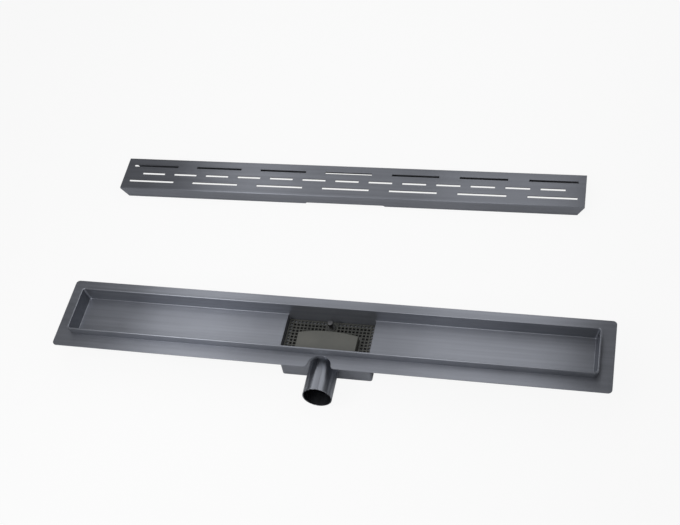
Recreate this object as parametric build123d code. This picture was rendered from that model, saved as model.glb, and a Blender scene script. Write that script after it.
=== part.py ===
from build123d import *
import math
import os

# Linear shower drain, all lengths in millimetres.
# X runs along the channel, Y points away from the outlet and Z points up.
# The origin is the centre of the sump's underside, on which the channel stands.

# Channel body, one folded sheet
sheet = 1.5
trough_length = 900.0        # inside, at the rim
trough_width = 84.0          # inside
trough_depth = 27.0          # rim to floor
end_lean = 6.0               # how far each end wall comes in from rim to floor
upstand = 15.0               # rim above the flange
trough_corner = 3.0          # inside radius of the trough's upright corners
floor_bend = 1.0             # inside radius where the walls meet the floor
hem_bend = 1.0               # radius where the hemmed rim turns into the flange
rim_land = 0.4               # flat left on top of the hemmed rim between its two rounded edges
flange_end = 25.5            # flat flange beyond the rim at each end
flange_side = 25.5           # flat flange in front of the rim and behind it
flange_corner = 7.0
notch_width = 40.0           # round notch in the front flange, over the outlet
notch_clear = 0.3            # from the notch to the hem's bend
notch_flare = 7.0            # radius where the notch opens at the flange's edge

# Sump box, as wide as the trough and let into its floor
sump_length = 154.0          # inside
sump_height = 56.5           # outside, from the underside to the trough's floor sheet
sump_corner = 4.0            # outside radius of the upright corners
sump_bend = 2.0              # outside radius round the bottom

# Outlet pipe, welded to the front of the sump
outlet_diameter = 50.0
outlet_wall = 1.5
outlet_reach = 62.0          # from the sump's front face to the mouth
outlet_headroom = 0.5        # from the pipe's crown to the top of the sump's walls

# Trap: a hood that dips behind a weir, both in front of the outlet
hood_width = 104.0
hood_depth = 47.0            # straight part of the side walls, front to back
hood_arch = 6.0              # how far the back wall bows out
hood_wall = 2.0
hood_foot_height = 6.5       # the way in for water under the hood
hood_foot_length = 8.0
hood_foot_inset = 5.0        # from the ends of the side walls to the feet
hood_edge_round = 1.0
seal_thickness = 2.0         # rubber between the hood and the sump's front wall
seal_width = 4.0
weir_margin = 8.5            # from the outlet's bore to the weir's side plates
weir_depth = 18.0            # from the sump's front wall to the weir's back plate
weir_height = 24.5

# Strainer round the hood, on three ledges
strainer_drop = 13.0         # from the trough's floor to the strainer's top
strainer_thickness = 3.0
strainer_gap = 1.0           # between the strainer and what is round it
strainer_border = 2.0
grid_hole = 4.3
grid_bar = 2.2
ledge_width = 7.5
ledge_height = 10.0
ledge_gap = 1.0              # between neighbouring ledges and at their ends

# Lifting knob, fixed from below with a screw and a washer
knob_setback = 14.5          # from the sump's back wall to the knob's axis
knob_base_diameter = 15.0
knob_base_height = 2.5
knob_neck_diameter = 7.0
knob_head_diameter = 10.0
knob_head_height = 7.0
knob_height = 18.0
knob_edge = 0.8              # chamfers of the base and the head
knob_land = 3.0              # plain ring of the strainer round the knob's base
screw_diameter = 4.0
screw_head_diameter = 8.0
screw_head_height = 2.4
screw_head_edge = 0.8        # chamfer round the head
screw_hole_depth = 9.0       # of the hole in the knob
screw_end_gap = 1.0          # from the shank's end to the end of that hole
washer_diameter = 9.0
washer_thickness = 0.8
thread_gap = 0.05            # between the shank and the knob's hole
screw_gap = 0.2              # between the shank and what it passes through

# Cover, one sheet folded down along both sides and open at its ends
cover_end_gap = 3.0          # between the cover and the trough's end wall
cover_side_gap = 2.2         # between the cover and the trough's side wall
cover_height = 23.0
cover_bend = 1.0             # inside radius of the two folds
skirt_inset = 13.4           # how far the skirts' ends slant in at the bottom
relief_height = 2.5          # the skirts are this much shorter over the sump
relief_slant = 3.0
slot_width = 5.0
slot_long = 90.5
slot_short = 45.5
slot_bridge = 38.7           # between two long slots
slot_margin = 12.0           # least distance from a slot to the cover's end
row_spacing = 20.0

# The cover is taken off and stands on the ground behind the channel.
cover_behind = 387.0         # from the sump's middle to the cover's middle line
cover_shift = -45.0          # along the channel
cover_turn = 1.1             # degrees about Z

pick = 0.001                 # how far an edge may lie from the level at which it is picked

# Levels and places that follow from the sizes above
floor_under = sump_height
floor_top = floor_under + sheet
rim_top = floor_top + trough_depth
flange_top = rim_top - upstand
rim_thickness = 2 * sheet
sump_width = trough_width
sump_top = floor_top + floor_bend
lean = end_lean / trough_depth
lean_stretch = math.hypot(1, lean)
sump_front = -sump_width / 2 - sheet
sump_floor = sheet
outlet_radius = outlet_diameter / 2
bore_radius = outlet_radius - outlet_wall
outlet_axis = sump_top - outlet_headroom - outlet_radius
hood_front = -sump_width / 2 + seal_thickness
hood_shoulder = hood_front + hood_depth
arch_radius = ((hood_width / 2) ** 2 + hood_arch ** 2) / (2 * hood_arch)
arch_centre = hood_shoulder + hood_arch - arch_radius
hood_bottom = sump_floor + hood_foot_height
strainer_top = floor_top - strainer_drop
strainer_under = strainer_top - strainer_thickness
knob_y = sump_width / 2 - knob_setback
cover_length = trough_length - 2 * cover_end_gap
cover_width = trough_width - 2 * cover_side_gap


def block(length, width, low, high, y=0.0):
    """An upright block centred on X, from one level to another."""
    middle = Pos(0, y, (low + high) / 2)
    return middle * Box(length, width, high - low)


def upright_edges(solid):
    """The edges of a block's upright or leaning corners."""
    return [e for e in solid.edges() if abs((e % 0.5).Z) > 0.5]


def edges_at(solid, level):
    """The edges that lie flat at one level."""
    return solid.edges().filter_by_position(Axis.Z, level - pick, level + pick)


def trough_form(outset, low, high, corner):
    """The trough's leaning-ended form, grown by outset and cut off at two levels."""
    def half_length(z):
        return trough_length / 2 - lean * (rim_top - z) + outset * lean_stretch
    outline = Polyline((-half_length(low), low), (half_length(low), low),
                       (half_length(high), high), (-half_length(high), high), close=True)
    face = Plane.XZ * make_face(outline)
    solid = extrude(face, amount=trough_width / 2 + outset, both=True)
    return fillet(upright_edges(solid), corner)


def flange_plate():
    """The flange with its round corners and the notch over the outlet."""
    foot_length = trough_length - 2 * lean * upstand + 2 * rim_thickness * lean_stretch
    length = foot_length + 2 * flange_end
    width = trough_width + 2 * rim_thickness + 2 * flange_side
    plate = extrude(RectangleRounded(length, width, flange_corner), amount=-sheet)
    front = -width / 2
    radius = notch_width / 2
    centre = -(trough_width / 2 + rim_thickness + hem_bend + notch_clear) - radius
    notch = Pos(0, centre) * Circle(radius)
    if centre > front:
        notch += Pos(0, (centre + front) / 2) * Rectangle(notch_width, centre - front)
    level = front + notch_flare
    drop = max(level - centre, 0)
    flare_x = math.sqrt((radius + notch_flare) ** 2 - drop ** 2)
    share = radius / (radius + notch_flare)
    touch = (share * flare_x, level - (1 - share) * drop)
    mouth = make_face(Polyline((-flare_x, front), (flare_x, front), (flare_x, level), touch,
                               (-touch[0], touch[1]), (-flare_x, level), close=True))
    for side in (-1, 1):
        mouth -= Pos(side * flare_x, level) * Circle(notch_flare)
    plate -= extrude(notch + mouth, amount=sheet, both=True)
    return Pos(0, 0, flange_top) * plate


def trough_room():
    """The space inside the trough."""
    room = trough_form(0, floor_top, rim_top, trough_corner)
    return fillet(edges_at(room, floor_top), floor_bend)


def sump_form(inset, low):
    """The sump's round-cornered form, shrunk by inset, from one level to its top."""
    form = block(sump_length + 2 * (sheet - inset), sump_width + 2 * (sheet - inset), low, sump_top)
    return fillet(upright_edges(form), sump_corner - inset)


def channel_body():
    """Floor, walls, hemmed rim and flange as one folded sheet."""
    tub = trough_form(sheet, floor_under, flange_top, trough_corner + sheet)
    tub = fillet(edges_at(tub, floor_under), floor_bend + sheet)
    hem = trough_form(rim_thickness, flange_top - sheet, rim_top, trough_corner + rim_thickness)
    body = tub + hem + flange_plate() - trough_room()
    body = fillet(edges_at(body, rim_top), (rim_thickness - rim_land) / 2)
    return (body - sump_form(0, 0)).solid()


def sump_box():
    """Open box with a hole for the outlet. Its walls end flush in the trough's floor and walls."""
    outer = sump_form(0, 0)
    outer = fillet(edges_at(outer, 0), sump_bend)
    inner = sump_form(sheet, sump_floor)
    inner = fillet(edges_at(inner, sump_floor), sump_bend - sheet)
    bore = along_y(bore_radius, sump_front, sump_front + 2 * sheet, outlet_axis)
    return (outer - inner - bore - trough_room()).solid()


def along_y(radius, start, end, level):
    """A round bar along Y."""
    bar = Cylinder(radius, end - start, rotation=(90, 0, 0))
    return Pos(0, (start + end) / 2, level) * bar


def outlet_pipe():
    """Plain tube from the sump's front face to its open mouth."""
    mouth = sump_front - outlet_reach
    tube = along_y(outlet_radius, mouth, sump_front, outlet_axis)
    return tube - along_y(bore_radius, mouth, sump_front, outlet_axis)


def hood_outline(grow):
    """Plan of the hood: straight sides and a back wall that bows out."""
    half = hood_width / 2 + grow
    radius = arch_radius + grow
    corner_y = arch_centre + math.sqrt(radius ** 2 - half ** 2)
    left = Line((-half, corner_y), (-half, hood_front))
    front = Line((-half, hood_front), (half, hood_front))
    right = Line((half, hood_front), (half, corner_y))
    back = ThreePointArc((half, corner_y), (0, arch_centre + radius), (-half, corner_y))
    return make_face([left, front, right, back])


def trap_hood():
    """Moulded hood, open to the outlet and underneath, standing on four feet."""
    shell = Pos(0, 0, hood_bottom) * extrude(hood_outline(0), amount=floor_top - hood_bottom)
    rim = [e for e in edges_at(shell, floor_top) if (e @ 0.5).Y > hood_front + pick]
    shell = fillet(rim, hood_edge_round)
    room = extrude(hood_outline(-hood_wall), amount=floor_top - hood_wall)
    room += block(hood_width - 2 * hood_wall, 2 * hood_wall, 0, floor_top - hood_wall, y=hood_front)
    shell -= room
    side = (hood_width - hood_wall) / 2
    front_foot = hood_front + hood_foot_inset + hood_foot_length / 2
    back_foot = hood_shoulder - hood_foot_inset - hood_foot_length / 2
    for x in (-side, side):
        for y in (front_foot, back_foot):
            foot = block(hood_wall, hood_foot_length, sump_floor, hood_bottom, y=y)
            shell += Pos(x, 0, 0) * foot
    return shell.solid()


def hood_seal():
    """Flat rubber strip round the hood's open front, pressed on the sump's wall."""
    low, high = hood_bottom, floor_top - hood_edge_round
    front = hood_front - seal_thickness / 2
    strip = block(hood_width, seal_thickness, low, high, y=front)
    return strip - block(hood_width - 2 * seal_width, seal_thickness, low, high - seal_width, y=front)


def weir_plate():
    """Bent plate that holds the water back in front of the outlet."""
    low, high = sump_floor, sump_floor + weir_height
    width = 2 * (bore_radius + weir_margin + sheet)
    back = -sump_width / 2 + weir_depth
    outer = block(width, weir_depth, low, high, y=back - weir_depth / 2)
    bends = [e for e in upright_edges(outer) if (e @ 0.5).Y > back - sheet]
    outer = fillet(bends, 2 * sheet)
    inner = block(width - 2 * sheet, weir_depth, low, high, y=back - sheet - weir_depth / 2)
    bends = [e for e in upright_edges(inner) if (e @ 0.5).Y > back - 2 * sheet]
    plate = outer - fillet(bends, sheet)
    toes = [e for e in edges_at(plate, low) if (e @ 0.5).Y < back - weir_depth + pick]
    return chamfer(toes, sump_bend - sheet)


def ledge(length):
    """Angle strip along X whose back lies on the plane Y = 0."""
    profile = Polyline((0, 0), (0, -ledge_height), (-sheet, -ledge_height), (-sheet, -sheet),
                       (-ledge_width, -sheet), (-ledge_width, 0), close=True)
    solid = extrude(Plane.YZ * make_face(profile), amount=length / 2, both=True)
    return Pos(0, 0, strainer_under) * solid


def ledges():
    """The three strips welded to the sump's left, right and back walls."""
    side_length = sump_width - 2 * (sump_corner - sheet)
    side = ledge(side_length)
    back = ledge(sump_length - 2 * (ledge_width + ledge_gap))
    return {
        "ledge_left": Pos(-sump_length / 2, 0, 0) * Rot(0, 0, 90) * side,
        "ledge_right": Pos(sump_length / 2, 0, 0) * Rot(0, 0, -90) * side,
        "ledge_back": Pos(0, sump_width / 2, 0) * back,
    }


def hole_is_clear(x, y):
    """True where a grid hole keeps its bar to the border, the hood and the knob."""
    reach = grid_hole / 2
    limit_x = sump_length / 2 - strainer_gap - strainer_border
    limit_y = sump_width / 2 - strainer_gap - strainer_border
    if abs(x) + reach > limit_x or abs(y) + reach > limit_y:
        return False
    land = knob_base_diameter / 2 + knob_land
    if math.hypot(x, y - knob_y) < land + reach:
        return False
    keep = strainer_gap + grid_bar
    nearest_x, nearest_y = max(abs(x) - reach, 0), y - reach
    beside = nearest_x > hood_width / 2 + keep
    behind = math.hypot(nearest_x + 2 * reach, nearest_y - arch_centre) > arch_radius + keep
    behind = behind and nearest_y > arch_centre
    return beside or behind


def strainer_grid():
    """Moulded plate with square holes, cut out round the hood."""
    length, width = sump_length - 2 * strainer_gap, sump_width - 2 * strainer_gap
    plate = RectangleRounded(length, width, sump_corner - sheet - strainer_gap)
    plate -= hood_outline(strainer_gap)
    plate -= Pos(0, hood_front) * Rectangle(hood_width + 2 * strainer_gap, 2 * seal_thickness)
    pitch = grid_hole + grid_bar
    columns = math.floor(length / 2 / pitch)
    last_row = width / 2 - strainer_border - grid_hole / 2
    rows = math.floor(2 * last_row / pitch)
    holes = [Pos(i * pitch, last_row - j * pitch) * Rectangle(grid_hole, grid_hole)
             for i in range(-columns, columns + 1) for j in range(rows + 1)
             if hole_is_clear(i * pitch, last_row - j * pitch)]
    plate -= holes
    plate -= Pos(0, knob_y) * Circle(screw_diameter / 2 + screw_gap)
    return Pos(0, 0, strainer_under) * extrude(plate, amount=strainer_thickness)


def lift_knob():
    """Turned knob with a wide base, a plain neck and a round head."""
    base, neck, head = (d / 2 for d in (knob_base_diameter, knob_neck_diameter, knob_head_diameter))
    neck_low, neck_high = knob_base_height, knob_height - knob_head_height
    outline = Polyline((0, 0), (base, 0), (base, neck_low - knob_edge), (base - knob_edge, neck_low),
                       (neck, neck_low), (neck, neck_high), (head - knob_edge, neck_high),
                       (head, neck_high + knob_edge), (head, knob_height - knob_edge),
                       (head - knob_edge, knob_height), (0, knob_height), close=True)
    knob = revolve(Plane.XZ * make_face(outline), Axis.Z)
    knob -= Pos(0, 0, screw_hole_depth / 2) * Cylinder(screw_diameter / 2 + thread_gap, screw_hole_depth)
    return Pos(0, knob_y, strainer_top) * knob


def knob_screw():
    """Pan-head screw that comes up through the washer and the strainer."""
    head_top = strainer_under - washer_thickness
    shank = strainer_top + screw_hole_depth - screw_end_gap - head_top
    below, above = (Align.CENTER, Align.CENTER, Align.MAX), (Align.CENTER, Align.CENTER, Align.MIN)
    head = Cylinder(screw_head_diameter / 2, screw_head_height, align=below)
    head = chamfer(edges_at(head, -screw_head_height), screw_head_edge)
    screw = head + Cylinder(screw_diameter / 2, shank, align=above)
    return Pos(0, knob_y, head_top) * screw


def knob_washer():
    """Flat washer between the screw's head and the strainer."""
    disc = Cylinder(washer_diameter / 2, washer_thickness) - Cylinder(
        screw_diameter / 2 + screw_gap, washer_thickness)
    return Pos(0, knob_y, strainer_under - washer_thickness / 2) * disc


def slot_rows():
    """Centres and lengths of the cover's slots: long, short and long rows."""
    pitch = slot_long + slot_bridge
    count = math.floor((cover_length - 2 * slot_margin + slot_bridge) / pitch)
    slots = []
    for i in range(count):
        x = (i - (count - 1) / 2) * pitch
        slots += [(x, row_spacing, slot_long), (x, -row_spacing, slot_long)]
    for i in range(2 * count - 1):
        slots.append(((i - (count - 1)) * pitch / 2, 0, slot_short))
    return slots


def cover_grate():
    """Slotted cover with a skirt folded down along each side."""
    half, under = cover_width / 2, cover_height - sheet
    outer = block(cover_length, cover_width, 0, cover_height)
    outer = fillet(edges_at(outer, cover_height).filter_by(Axis.X), cover_bend + sheet)
    inner = block(cover_length, cover_width - 2 * sheet, 0, under)
    cover = outer - fillet(edges_at(inner, under).filter_by(Axis.X), cover_bend)
    fold = under - cover_bend
    end = cover_length / 2
    for side in (-1, 1):
        corner = Polyline((side * end, fold), (side * (end - skirt_inset), 0), (side * end, 0), close=True)
        cover -= extrude(Plane.XZ * make_face(corner), amount=half, both=True)
    low, high = sump_length / 2, sump_length / 2 - relief_slant
    relief = Polyline((-low, 0), (-high, relief_height), (high, relief_height), (low, 0), close=True)
    cover -= extrude(Plane.XZ * make_face(relief), amount=half, both=True)
    holes = [Pos(x, y) * Rectangle(length, slot_width) for x, y, length in slot_rows()]
    cover -= extrude(Sketch() + holes, amount=cover_height)
    return Pos(cover_shift, cover_behind, 0) * Rot(0, 0, cover_turn) * cover


pieces = {
    "channel_body": channel_body(),
    "sump_box": sump_box(),
    "outlet_pipe": outlet_pipe(),
    "trap_hood": trap_hood(),
    "hood_seal": hood_seal(),
    "weir_plate": weir_plate(),
    "strainer_grid": strainer_grid(),
    "lift_knob": lift_knob(),
    "knob_screw": knob_screw(),
    "knob_washer": knob_washer(),
    "cover_grate": cover_grate(),
    **ledges(),
}

os.makedirs("parts", exist_ok=True)
for name, piece in pieces.items():
    export_step(piece, f"parts/{name}.step")
    print(name, round(piece.volume), "mm3")
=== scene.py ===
import math

import bpy
from mathutils import Matrix, Vector


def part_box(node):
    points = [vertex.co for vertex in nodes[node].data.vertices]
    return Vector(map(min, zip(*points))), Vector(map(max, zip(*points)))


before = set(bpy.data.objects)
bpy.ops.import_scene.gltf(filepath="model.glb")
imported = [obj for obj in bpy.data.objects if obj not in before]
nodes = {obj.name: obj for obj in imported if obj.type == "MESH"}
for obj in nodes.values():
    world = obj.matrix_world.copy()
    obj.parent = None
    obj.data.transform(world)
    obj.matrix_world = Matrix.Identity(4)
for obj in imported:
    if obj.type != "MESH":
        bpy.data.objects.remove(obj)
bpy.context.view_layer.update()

# Camera, at the photograph's viewing angle
camera_at = Vector((0.4855, -1.1966, 1.7800))
camera_aim = Vector((-0.0099, 0.1622, 0.0580))
camera_roll = -11.65                    # degrees
camera_lens = 67.36                     # millimetres
camera_sensor = 36.0                    # millimetres, across the picture

# Light
sky_white = (1.0, 1.0, 1.0, 1.0)
sky_strength = 0.32
lamps = {                               # middle, tilt towards +Y in degrees, size, radiance
    "softbox_left": ((-0.400, 0.35, 0.50), 0, (0.22, 1.7), 1.45),
    "softbox_middle": ((-0.130, 0.35, 0.50), 0, (0.26, 1.7), 0.78),
    "softbox_right": ((0.215, 0.35, 0.50), 0, (0.34, 1.7), 1.12),
    "front_left": ((-0.440, -0.40, 0.58), 36, (0.20, 0.3), 10.5),
    "front_right": ((0.100, -0.40, 0.58), 36, (0.20, 0.3), 4.6),
}

# Floor
floor_half = 30.0                       # reaches far past the picture's edges
floor_drop = 0.0001                     # keeps it clear of the faces that stand on it
floor_paint = (0.82, 0.82, 0.82)
floor_white = (0.965, 0.965, 0.965)
floor_glow = 0.95                       # share of its look that is plain white, whatever the light
mirror_reach = 0.20                     # how far round the object painted shade darkens the floor's mirror image
mirror_depth = 4.0                      # how fast it darkens towards the object
mirror_samples = 4

# Noise and painted highlights on outward edges, alike in every material
noise_rough = 0.55                      # how strong each finer layer of a noise is against the one before
edge_samples = 6
edge_bend = (0.80, 0.99)                # cosine of the rounding at a full edge and at none
edge_reach = 0.004                      # faces nearer than this shelter an edge from its painted highlight
edge_open = (0.85, 0.97)                # openness at which the painted highlight begins and at which it is full

# Gunmetal sheet. Colours are linear, patterns are in waves per metre.
steel_light = (0.222, 0.233, 0.262)
steel_dark = (0.178, 0.187, 0.211)
# painted highlight: the lighter colour on outward edges
steel_edge_highlight = (0.235, 0.245, 0.270)
steel_fine = (14.0, 1500.0)             # the fine grain, along it and across it
steel_broad = (2.5, 140.0)              # the broad streaks, along them and across them
steel_cloud = (9.0, 9.0, 9.0)
steel_shares = (0.45, 0.35, 0.20)       # of the streaks, the clouds and the fine grain in the tone
steel_contrast = (0.38, 0.62)           # tones that show as the darkest and the lightest colour
steel_edge = 0.0003                     # radius of its rounded edges
steel_highlight_share = (0.10, 0.40)               # share of the painted highlight's colour on an edge, least and most
steel_metal = 0.92                      # the coating lets part of the light scatter
steel_rough = 0.42
steel_fine_sway = 0.04                  # how far the fine grain shifts the roughness
steel_cloud_sway = 0.03
steel_fine_relief = (0.00002, 0.5)      # depth and strength
steel_broad_relief = (0.00003, 0.4)
brushing = 0.75                         # how much the brushed grain stretches a reflection
across_grain = 0.25                     # part of a full turn that sets the stretch across the grain

# Where cover and outlet differ from the channel's sheet
cover_turn = math.radians(1.1)          # the cover and its grain lie turned on the ground
cover_painted_shade = 0.80                      # painted shade: the cover's colours as a share of the channel's, the same coating darkened
tube_metal = 1.0
tube_rough = 0.31
tube_polish = 0.25                      # how much the polish round the tube stretches a reflection

# Olive-grey moulding
plastic_light = (0.069, 0.069, 0.061)
plastic_dark = (0.055, 0.056, 0.050)
# painted highlight: the lighter colour on outward edges
plastic_edge_highlight = (0.15, 0.15, 0.135)
plastic_grain = (900.0, 900.0, 900.0)
plastic_cloud = (25.0, 25.0, 25.0)
plastic_contrast = (0.35, 0.65)
plastic_edge = 0.0005
plastic_highlight_share = 0.3
plastic_rough = (0.50, 0.60)
plastic_cloud_sway = 0.04
plastic_relief = (0.00005, 0.5)
strainer_painted_shade = 0.62                   # painted shade: the strainer's colours as a share of the hood's, the same moulding darkened

# Turned knob
knob_light = (0.135, 0.135, 0.140)
knob_dark = (0.095, 0.095, 0.100)
# painted shade: the flat darker colour of the knob below its head
knob_foot_shade = (0.100, 0.100, 0.098)
# painted highlight: the lighter colour on outward edges
knob_edge_highlight = (0.25, 0.25, 0.25)
knob_head = (0.010, 0.012)              # heights over its foot between which the painted shade below the head gives way to the head's colour
knob_rings = 400.0
knob_waver = 0.6                        # how unevenly the rings run
knob_cloud = (220.0, 220.0, 220.0)
knob_edge = 0.0004
knob_highlight_share = 0.25
knob_rough = (0.42, 0.52)
knob_cloud_sway = 0.04
knob_relief = (0.00003, 0.4)
knob_metal = 1.0
knob_stretch = 0.4

# Rubber seal
rubber_light = (0.020, 0.020, 0.021)
rubber_dark = (0.012, 0.012, 0.013)
rubber_grain = (1400.0, 1400.0, 1400.0)
rubber_cloud = (60.0, 60.0, 60.0)
rubber_rough = (0.55, 0.70)
rubber_cloud_sway = 0.05
rubber_relief = (0.00004, 0.6)


class Tree:
    """A material's node tree, with short calls for the nodes used here."""

    def __init__(self, name):
        self.material = bpy.data.materials.new(name)
        self.material.use_nodes = True
        self.nodes = self.material.node_tree.nodes
        self.links = self.material.node_tree.links
        self.nodes.clear()
        self.coords = self.add("ShaderNodeTexCoord").outputs["Object"]

    def add(self, kind, inputs=None, **settings):
        """Adds a node. An input takes another node's output, a number, a vector or a colour."""
        node = self.nodes.new(kind)
        for key, value in settings.items():
            setattr(node, key, value)
        for key, value in (inputs or {}).items():
            socket = node.inputs[key]
            if isinstance(value, bpy.types.NodeSocket):
                self.links.new(value, socket)
            elif socket.type == "RGBA":
                socket.default_value = (*value, 1.0)
            else:
                socket.default_value = value
        return node

    def mapped(self, place, change, amount):
        """Coordinates moved, turned or stretched, where change is Location, Rotation or Scale."""
        node = self.add("ShaderNodeMapping", {"Vector": place, change: amount}, vector_type="POINT")
        return node.outputs["Vector"]

    def noise(self, scale, turn=0.0, detail=3.0):
        """Noise with its own scale along each axis of the object, turned about Z."""
        place = self.mapped(self.coords, "Rotation", (0.0, 0.0, -turn))
        place = self.mapped(place, "Scale", scale)
        inputs = {"Vector": place, "Scale": 1.0, "Detail": detail, "Roughness": noise_rough}
        return self.add("ShaderNodeTexNoise", inputs).outputs["Fac"]

    def spread(self, source, low, high, start=0.3, end=0.7):
        """Maps a number to another range. It is taken to be a noise unless start and end are given."""
        inputs = {"Value": source, "From Min": start, "From Max": end, "To Min": low, "To Max": high}
        return self.add("ShaderNodeMapRange", inputs, clamp=True).outputs["Result"]

    def maths(self, operation, first, second):
        """Works out one number from two, each a number or a socket."""
        return self.add("ShaderNodeMath", {0: first, 1: second}, operation=operation).outputs["Value"]

    def vectors(self, operation, first, second):
        """Combines two vectors and gives the node's outputs, of which the operation fills one."""
        return self.add("ShaderNodeVectorMath", {0: first, 1: second}, operation=operation).outputs

    def weighed(self, sources, shares):
        """The sum of several numbers, each times its share."""
        total, *others = [self.maths("MULTIPLY", *pair) for pair in zip(sources, shares)]
        for other in others:
            total = self.maths("ADD", total, other)
        return total

    def swayed(self, value, noise, amount):
        """A value that a noise shifts up and down by as much as the amount."""
        return self.maths("ADD", value, self.spread(noise, -amount, amount))

    def blend(self, factor, first, second):
        """Mixes two colours, which are a mix node's inputs 6 and 7 and its output 2."""
        inputs = {"Factor": factor, 6: first, 7: second}
        return self.add("ShaderNodeMix", inputs, data_type="RGBA").outputs[2]

    def plain_normal(self):
        return self.add("ShaderNodeNewGeometry").outputs["Normal"]

    def openness(self, reach, samples):
        """How open a place is: 1 with no other face within reach, towards 0 in a tight corner."""
        return self.add("ShaderNodeAmbientOcclusion", {"Distance": reach}, samples=samples).outputs["AO"]

    def bevel(self, radius):
        """A normal that rounds sharp edges, and a mask of where it does so on outward ones."""
        rounded = self.add("ShaderNodeBevel", {"Radius": radius}, samples=edge_samples).outputs["Normal"]
        cosine = self.vectors("DOT_PRODUCT", rounded, self.plain_normal())["Value"]
        edge = self.spread(cosine, 1.0, 0.0, *edge_bend)
        outward = self.spread(self.openness(edge_reach, edge_samples), 0.0, 1.0, *edge_open)
        return rounded, self.maths("MULTIPLY", edge, outward)

    def relief(self, height, distance, strength, normal=None):
        """A normal with fine relief, on top of another normal if one is given."""
        inputs = {"Height": height, "Distance": distance, "Strength": strength}
        if normal is not None:
            inputs["Normal"] = normal
        return self.add("ShaderNodeBump", inputs).outputs["Normal"]

    def coat(self, colour, rough, normal, **sockets):
        """Gives the material its shader. What is the same all over is set on the shader's sockets."""
        inputs = {"Base Color": colour, "Roughness": rough, "Normal": normal}
        for key, value in sockets.items():
            inputs[key.replace("_", " ")] = value
        self.show(self.add("ShaderNodeBsdfPrincipled", inputs).outputs["BSDF"])

    def show(self, shader):
        self.add("ShaderNodeOutputMaterial", {"Surface": shader})


def shaded(colour, share):
    return tuple(value * share for value in colour)


def grain_scale(waves, along):
    """A pattern's scale on each axis, from its waves along the grain and across it."""
    run, across = waves
    return tuple(run if axis == along else across for axis in "XYZ")


def brushed_steel(name, along="X", turn=0.0, painted_shade=1.0, metal=steel_metal, rough=steel_rough,
                  stretch=brushing, around=False):
    """Gunmetal-coated sheet with a fine grain along one axis, or a tube polished round that axis. A share
    below 1 darkens its colours as painted shade, and outward edges get a painted highlight.
    """
    tree = Tree(name)
    fine = tree.noise(grain_scale(steel_fine, along), turn, detail=2.0)
    broad = tree.noise(grain_scale(steel_broad, along), turn, detail=4.0)
    cloud = tree.noise(steel_cloud, turn)
    tone = tree.weighed((broad, cloud, fine), steel_shares)
    colour = tree.blend(tree.spread(tone, 0.0, 1.0, *steel_contrast),
                        shaded(steel_dark, painted_shade), shaded(steel_light, painted_shade))
    normal, edge = tree.bevel(steel_edge)
    # painted highlight on outward edges, its share following the fine grain
    edge_highlight = tree.maths("MULTIPLY", edge, tree.spread(fine, *steel_highlight_share))
    colour = tree.blend(edge_highlight, colour, shaded(steel_edge_highlight, painted_shade))
    rough = tree.spread(fine, rough - steel_fine_sway, rough + steel_fine_sway)
    rough = tree.swayed(rough, cloud, steel_cloud_sway)
    normal = tree.relief(broad, *steel_broad_relief, normal)
    normal = tree.relief(fine, *steel_fine_relief, normal)
    grain = Matrix.Rotation(turn, 3, "Z") @ Vector([float(axis == along) for axis in "XYZ"])
    tangent = tree.add("ShaderNodeCombineXYZ", dict(zip("XYZ", grain))).outputs["Vector"]
    if around:
        tangent = tree.vectors("CROSS_PRODUCT", tangent, tree.plain_normal())["Vector"]
    tree.coat(colour, rough, normal, Metallic=metal, Anisotropic=stretch,
              Anisotropic_Rotation=across_grain, Tangent=tangent)
    return tree.material


def moulded_plastic(name, painted_shade=1.0):
    """Matt olive-grey moulding with a fine spark-eroded texture. A share below 1 darkens its colours as
    painted shade, and outward edges get a painted highlight.
    """
    tree = Tree(name)
    grain = tree.noise(plastic_grain)
    cloud = tree.noise(plastic_cloud, detail=4.0)
    colour = tree.blend(tree.spread(cloud, 0.0, 1.0, *plastic_contrast),
                        shaded(plastic_dark, painted_shade), shaded(plastic_light, painted_shade))
    normal, edge = tree.bevel(plastic_edge)
    # painted highlight on outward edges
    edge_highlight = tree.maths("MULTIPLY", edge, plastic_highlight_share)
    colour = tree.blend(edge_highlight, colour, shaded(plastic_edge_highlight, painted_shade))
    rough = tree.swayed(tree.spread(grain, *plastic_rough), cloud, plastic_cloud_sway)
    tree.coat(colour, rough, tree.relief(grain, *plastic_relief, normal))
    return tree.material


def turned_steel():
    """Satin turned metal with fine rings round an upright axis, with painted shade below its head and a
    painted highlight on outward edges.
    """
    tree = Tree("knob_turning")
    low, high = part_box("lift_knob")
    centre = (low + high) / 2
    place = tree.mapped(tree.coords, "Location", (-centre.x, -centre.y, -low.z))
    inputs = {"Vector": place, "Scale": knob_rings, "Distortion": knob_waver}
    rings = tree.add("ShaderNodeTexWave", inputs, wave_type="RINGS", rings_direction="Z").outputs["Fac"]
    cloud = tree.noise(knob_cloud)
    colour = tree.blend(tree.spread(cloud, 0.0, 1.0), knob_dark, knob_light)
    normal, edge = tree.bevel(knob_edge)
    # painted highlight on outward edges
    colour = tree.blend(tree.maths("MULTIPLY", edge, knob_highlight_share), colour, knob_edge_highlight)
    # painted shade: below its head the knob takes a flat darker colour
    height = tree.add("ShaderNodeSeparateXYZ", {"Vector": place}).outputs["Z"]
    colour = tree.blend(tree.spread(height, 0.0, 1.0, *knob_head), knob_foot_shade, colour)
    rough = tree.swayed(tree.spread(rings, *knob_rough, 0.0, 1.0), cloud, knob_cloud_sway)
    normal = tree.relief(rings, *knob_relief, normal)
    tree.coat(colour, rough, normal, Metallic=knob_metal, Anisotropic=knob_stretch)
    return tree.material


def black_rubber():
    """Soft black seal with a dusty, uneven sheen."""
    tree = Tree("seal_compound")
    grain = tree.noise(rubber_grain, detail=2.0)
    cloud = tree.noise(rubber_cloud, detail=4.0)
    colour = tree.blend(tree.spread(cloud, 0.0, 1.0), rubber_dark, rubber_light)
    rough = tree.swayed(tree.spread(grain, *rubber_rough), cloud, rubber_cloud_sway)
    tree.coat(colour, rough, tree.relief(grain, *rubber_relief))
    return tree.material


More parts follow.
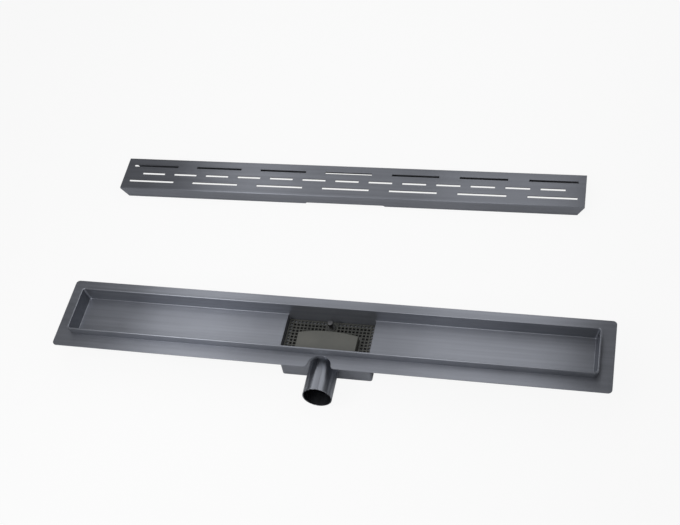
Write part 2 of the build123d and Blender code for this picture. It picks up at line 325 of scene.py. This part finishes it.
def floor_material():
    """Pale floor that shows as plain white and keeps part of the object's shadow.

    Its mirror image in the steel is as white, but painted shade darkens it close to the object.
    """
    tree = Tree("floor")
    paint = tree.add("ShaderNodeBsdfDiffuse", {"Color": floor_paint}).outputs["BSDF"]
    glow = tree.add("ShaderNodeEmission", {"Color": floor_white}).outputs["Emission"]
    ray = tree.add("ShaderNodeLightPath").outputs
    # painted shade: the floor's glow in reflections fades where the object closes it in
    shade_fade = tree.maths("POWER", tree.openness(mirror_reach, mirror_samples), mirror_depth)
    mirrored = tree.maths("MULTIPLY", ray["Is Glossy Ray"], shade_fade)
    seen = tree.maths("MAXIMUM", ray["Is Camera Ray"], mirrored)
    share = tree.maths("MULTIPLY", seen, floor_glow)
    tree.show(tree.add("ShaderNodeMixShader", {"Fac": share, 1: paint, 2: glow}).outputs["Shader"])
    return tree.material


def add_floor():
    mesh = bpy.data.meshes.new("floor")
    corners = [(floor_half * x, floor_half * y, 0) for x, y in ((-1, -1), (1, -1), (1, 1), (-1, 1))]
    mesh.from_pydata(corners, [], [(0, 1, 2, 3)])
    mesh.materials.append(floor_material())
    floor = bpy.data.objects.new("floor", mesh)
    floor.location.z = -floor_drop
    bpy.context.scene.collection.objects.link(floor)


def add_sky():
    world = bpy.data.worlds.new("studio")
    world.use_nodes = True
    background = world.node_tree.nodes["Background"]
    background.inputs["Color"].default_value = sky_white
    background.inputs["Strength"].default_value = sky_strength
    bpy.context.scene.world = world


def add_lamp(name, middle, tilt, size, radiance):
    light = bpy.data.lights.new(name, "AREA")
    light.shape = "RECTANGLE"
    light.size, light.size_y = size
    light.energy = radiance * math.pi * light.size * light.size_y
    lamp = bpy.data.objects.new(name, light)
    lamp.location = middle
    lamp.rotation_euler.x = math.radians(tilt)
    lamp.visible_camera = False
    bpy.context.scene.collection.objects.link(lamp)


def add_camera():
    data = bpy.data.cameras.new("camera")
    data.sensor_fit = "HORIZONTAL"
    data.sensor_width = camera_sensor
    data.lens = camera_lens
    camera = bpy.data.objects.new("camera", data)
    level = (camera_aim - camera_at).to_track_quat("-Z", "Y").to_matrix().to_4x4()
    roll = Matrix.Rotation(math.radians(camera_roll), 4, "Z")
    camera.matrix_world = Matrix.Translation(camera_at) @ level @ roll
    bpy.context.scene.collection.objects.link(camera)
    bpy.context.scene.camera = camera


def dress(material, *names):
    for name in names:
        for slot in nodes[name].material_slots:
            slot.material = material


dress(brushed_steel("channel_sheet"),
      "channel_body", "sump_box", "weir_plate", "ledge_left", "ledge_right", "ledge_back")
dress(brushed_steel("cover_sheet", turn=cover_turn, painted_shade=cover_painted_shade), "cover_grate")
dress(brushed_steel("outlet_tube", along="Y", metal=tube_metal, rough=tube_rough,
                    stretch=tube_polish, around=True), "outlet_pipe")
dress(moulded_plastic("hood_moulding"), "trap_hood")
dress(moulded_plastic("strainer_moulding", strainer_painted_shade), "strainer_grid")
dress(turned_steel(), "lift_knob", "knob_screw", "knob_washer")
dress(black_rubber(), "hood_seal")

add_floor()
add_sky()
for name, settings in lamps.items():
    add_lamp(name, *settings)
add_camera()
bpy.context.scene.view_settings.view_transform = "Standard"
